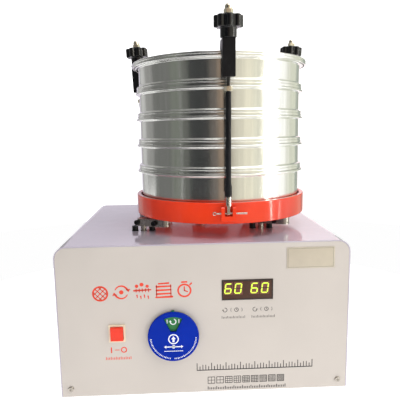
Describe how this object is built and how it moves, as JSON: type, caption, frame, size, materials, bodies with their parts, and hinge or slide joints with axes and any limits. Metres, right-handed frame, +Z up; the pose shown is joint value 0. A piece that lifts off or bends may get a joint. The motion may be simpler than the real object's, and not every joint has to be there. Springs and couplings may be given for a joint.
{
  "type": "sieve shaker",
  "caption": "Bench sieve shaker: a boxed drive with crank arms swings a red tray on a circle, and clamps hold a stack of round sieves with a pan and lid on it.",
  "frame": {"origin": "bottom centre of the bounding box, on the plane the rubber feet stand on", "axes": "+Z up, front panel faces -Y, +X to the right seen from the front"},
  "size_m": [0.48, 0.4487, 0.6318],
  "materials": {
    "casing_paint": "gloss off-white powder paint",
    "panel_paint": "satin warm light grey paint",
    "zinc_steel": "zinc plated",
    "rubber": "matt black",
    "nickel": "nickel plated",
    "rod_steel": "dark steel rod with bright nuts",
    "bearing_steel": "ground",
    "black_oxide": "black oxide",
    "crank_steel": "ground steel, darkened",
    "pin_steel": "ground steel pins with dark screws",
    "motor_grey": "satin",
    "pulley_aluminium": "machined",
    "board": "solder mask",
    "transformer_steel": "lacquered",
    "capacitor_case": "drawn",
    "smoked_window": "dark smoked",
    "cream_plastic": "moulded cream",
    "red_plastic": "red translucent",
    "status_print": "printed sectors",
    "blue_plastic": "gloss blue",
    "plate_metal": "satin cream-silver",
    "inlet_plastic": "black moulded",
    "tray_red": "gloss orange-red",
    "spun_aluminium": "bright spun",
    "perforated_steel": "punched sheet",
    "sleeve_black": "matt black sleeve",
    "block_black": "satin black",
    "knob_black": "gloss black"
  },
  "bodies": {
    "base": {"housing_shell": "casing_paint", "front_panel": "panel_paint", "rear_panel": "panel_paint", "base_plate": "zinc_steel", "rubber_feet": "rubber", "case_screws": "nickel", "drive_frame": "zinc_steel", "bearing_housings": "zinc_steel", "shaft_bearings": "bearing_steel", "flange_screws": "black_oxide", "gear_motor": "motor_grey", "drive_belt": "rubber", "circuit_boards": "board", "transformer": "transformer_steel", "motor_capacitor": "capacitor_case", "display_window": "smoked_window", "switch_body": "cream_plastic", "status_disc_base": "status_print", "name_plate": "plate_metal", "power_inlet": "inlet_plastic"},
    "motor_pulley": {"motor_pulley": "pulley_aluminium"},
    "drive_crank": {"drive_shaft": "bearing_steel", "driven_pulley": "pulley_aluminium", "drive_crank": "tray_red"},
    "tray": {"sieve_tray": "tray_red", "clamp_lugs": "tray_red", "tray_bearings": "bearing_steel", "cotter_pins": "nickel", "collecting_pan": "spun_aluminium", "sieve_frame_1": "spun_aluminium", "sieve_frame_2": "spun_aluminium", "sieve_frame_3": "spun_aluminium", "sieve_frame_4": "spun_aluminium", "sieve_plates": "perforated_steel", "lid": "spun_aluminium"},
    "power_button": {"power_button": "red_plastic"},
    "status_cover": {"status_disc_cover": "blue_plastic"},
    "idler_1": {"idler_arm_1": "crank_steel", "idler_pins_1": "pin_steel"},
    "idler_2": {"idler_arm_2": "crank_steel", "idler_pins_2": "pin_steel"},
    "idler_3": {"idler_arm_3": "crank_steel", "idler_pins_3": "pin_steel"},
    "idler_4": {"idler_arm_4": "crank_steel", "idler_pins_4": "pin_steel"},
    "clamp_link_1": {"eye_link_1": "nickel", "rod_sleeve_1": "sleeve_black"},
    "clamp_hook_1": {"hook_block_1": "block_black"},
    "clamp_screw_1": {"rod_and_nuts_1": "rod_steel", "star_knob_1": "knob_black"},
    "clamp_link_2": {"eye_link_2": "nickel", "rod_sleeve_2": "sleeve_black"},
    "clamp_hook_2": {"hook_block_2": "block_black"},
    "clamp_screw_2": {"rod_and_nuts_2": "rod_steel", "star_knob_2": "knob_black"},
    "clamp_link_3": {"eye_link_3": "nickel", "rod_sleeve_3": "sleeve_black"},
    "clamp_hook_3": {"hook_block_3": "block_black"},
    "clamp_screw_3": {"rod_and_nuts_3": "rod_steel", "star_knob_3": "knob_black"}
  },
  "joints": [
    {"name": "drive_spin", "type": "hinge", "parent": "base", "child": "drive_crank", "pos_m": [0.004, 0, 0.266], "axis": [0, 0, 1], "continuous": true},
    {"name": "tray_orbit", "type": "hinge", "parent": "drive_crank", "child": "tray", "pos_m": [0.042, -0.015, 0.296], "axis": [0, 0, 1], "continuous": true},
    {"name": "motor_spin", "type": "hinge", "parent": "base", "child": "motor_pulley", "pos_m": [0.004, 0.112, 0.148], "axis": [0, 0, 1], "continuous": true},
    {"name": "idler_1_spin", "type": "hinge", "parent": "base", "child": "idler_1", "pos_m": [-0.104, -0.086, 0.266], "axis": [0, 0, 1], "continuous": true},
    {"name": "idler_2_spin", "type": "hinge", "parent": "base", "child": "idler_2", "pos_m": [0.112, -0.086, 0.266], "axis": [0, 0, 1], "continuous": true},
    {"name": "idler_3_spin", "type": "hinge", "parent": "base", "child": "idler_3", "pos_m": [0.112, 0.086, 0.266], "axis": [0, 0, 1], "continuous": true},
    {"name": "idler_4_spin", "type": "hinge", "parent": "base", "child": "idler_4", "pos_m": [-0.104, 0.086, 0.266], "axis": [0, 0, 1], "continuous": true},
    {"name": "power_press", "type": "slide", "parent": "base", "child": "power_button", "axis": [0, 1, 0], "range_m": [0, 0.003], "stiffness_N_per_m": 300},
    {"name": "status_turn", "type": "hinge", "parent": "base", "child": "status_cover", "pos_m": [-0.052, -0.202, 0.1124], "axis": [0, -1, 0], "continuous": true},
    {"name": "clamp_1_swing", "type": "hinge", "parent": "tray", "child": "clamp_link_1", "pos_m": [0.042, -0.183, 0.311], "axis": [1, 0, 0], "range_deg": [0, 90]},
    {"name": "hook_1_lift", "type": "slide", "parent": "clamp_link_1", "child": "clamp_hook_1", "axis": [0, -0.061, 0.9981], "range_m": [0, 0.006]},
    {"name": "knob_1_turn", "type": "hinge", "parent": "clamp_hook_1", "child": "clamp_screw_1", "pos_m": [0.042, -0.183, 0.311], "axis": [0, -0.061, 0.9981], "range_deg": [0, 2161]},
    {"name": "clamp_2_swing", "type": "hinge", "parent": "tray", "child": "clamp_link_2", "pos_m": [0.18749, 0.069, 0.311], "axis": [-0.5, 0.866, 0], "range_deg": [0, 90]},
    {"name": "hook_2_lift", "type": "slide", "parent": "clamp_link_2", "child": "clamp_hook_2", "axis": [0.0529, 0.0305, 0.9981], "range_m": [0, 0.006]},
    {"name": "knob_2_turn", "type": "hinge", "parent": "clamp_hook_2", "child": "clamp_screw_2", "pos_m": [0.18749, 0.069, 0.311], "axis": [0.0529, 0.0305, 0.9981], "range_deg": [0, 2161]},
    {"name": "clamp_3_swing", "type": "hinge", "parent": "tray", "child": "clamp_link_3", "pos_m": [-0.10349, 0.069, 0.311], "axis": [-0.5, -0.866, 0], "range_deg": [0, 90]},
    {"name": "hook_3_lift", "type": "slide", "parent": "clamp_link_3", "child": "clamp_hook_3", "axis": [-0.0529, 0.0305, 0.9981], "range_m": [0, 0.006]},
    {"name": "knob_3_turn", "type": "hinge", "parent": "clamp_hook_3", "child": "clamp_screw_3", "pos_m": [-0.10349, 0.069, 0.311], "axis": [-0.0529, 0.0305, 0.9981], "range_deg": [0, 2161]}
  ],
  "couplings": [
    {"joint": "tray_orbit", "follows": "drive_spin", "ratio": -1},
    {"joint": "motor_spin", "follows": "drive_spin", "ratio": 3},
    {"joint": "idler_1_spin", "follows": "drive_spin", "ratio": 1},
    {"joint": "idler_2_spin", "follows": "drive_spin", "ratio": 1},
    {"joint": "idler_3_spin", "follows": "drive_spin", "ratio": 1},
    {"joint": "idler_4_spin", "follows": "drive_spin", "ratio": 1},
    {"joint": "knob_1_turn", "follows": "hook_1_lift", "rad_per_m": 6283.2},
    {"joint": "knob_2_turn", "follows": "hook_2_lift", "rad_per_m": 6283.2},
    {"joint": "knob_3_turn", "follows": "hook_3_lift", "rad_per_m": 6283.2}
  ]
}
